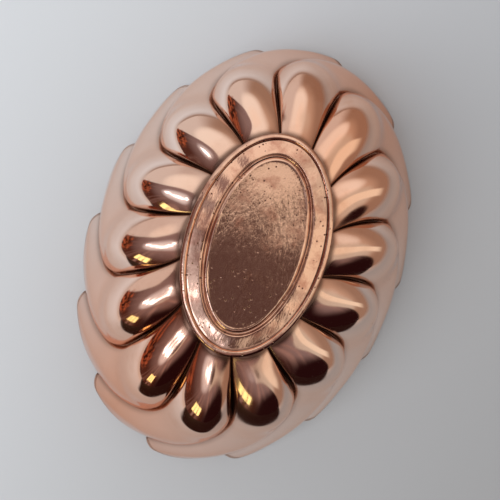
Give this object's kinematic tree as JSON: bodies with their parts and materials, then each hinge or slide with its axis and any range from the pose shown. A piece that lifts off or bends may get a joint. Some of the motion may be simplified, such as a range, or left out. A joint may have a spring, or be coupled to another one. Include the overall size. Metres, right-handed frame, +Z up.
{
  "type": "copper jelly mould",
  "caption": "Oval copper mould, hollow and tinned inside, with swirled lobes round a raised oval crown, standing mouth down.",
  "frame": {"origin": "middle of the mouth, on the plane of its cut edge, which is what the mould stands on", "axes": "+Z up from the mouth to the crown, X along the long axis of the mouth's oval, Y along its short axis"},
  "size_m": [0.1802, 0.1294, 0.085],
  "materials": {
    "copper_body": "polished copper",
    "copper_crown": "worn polished copper, pitted",
    "braze": "tarnished brazing metal",
    "tin": "dull wiped tin"
  },
  "bodies": {
    "root": {"fluted_shell": "copper_body", "crown_plate": "copper_crown", "crown_braze": "braze", "tin_lining": "tin"}
  },
  "joints": []
}
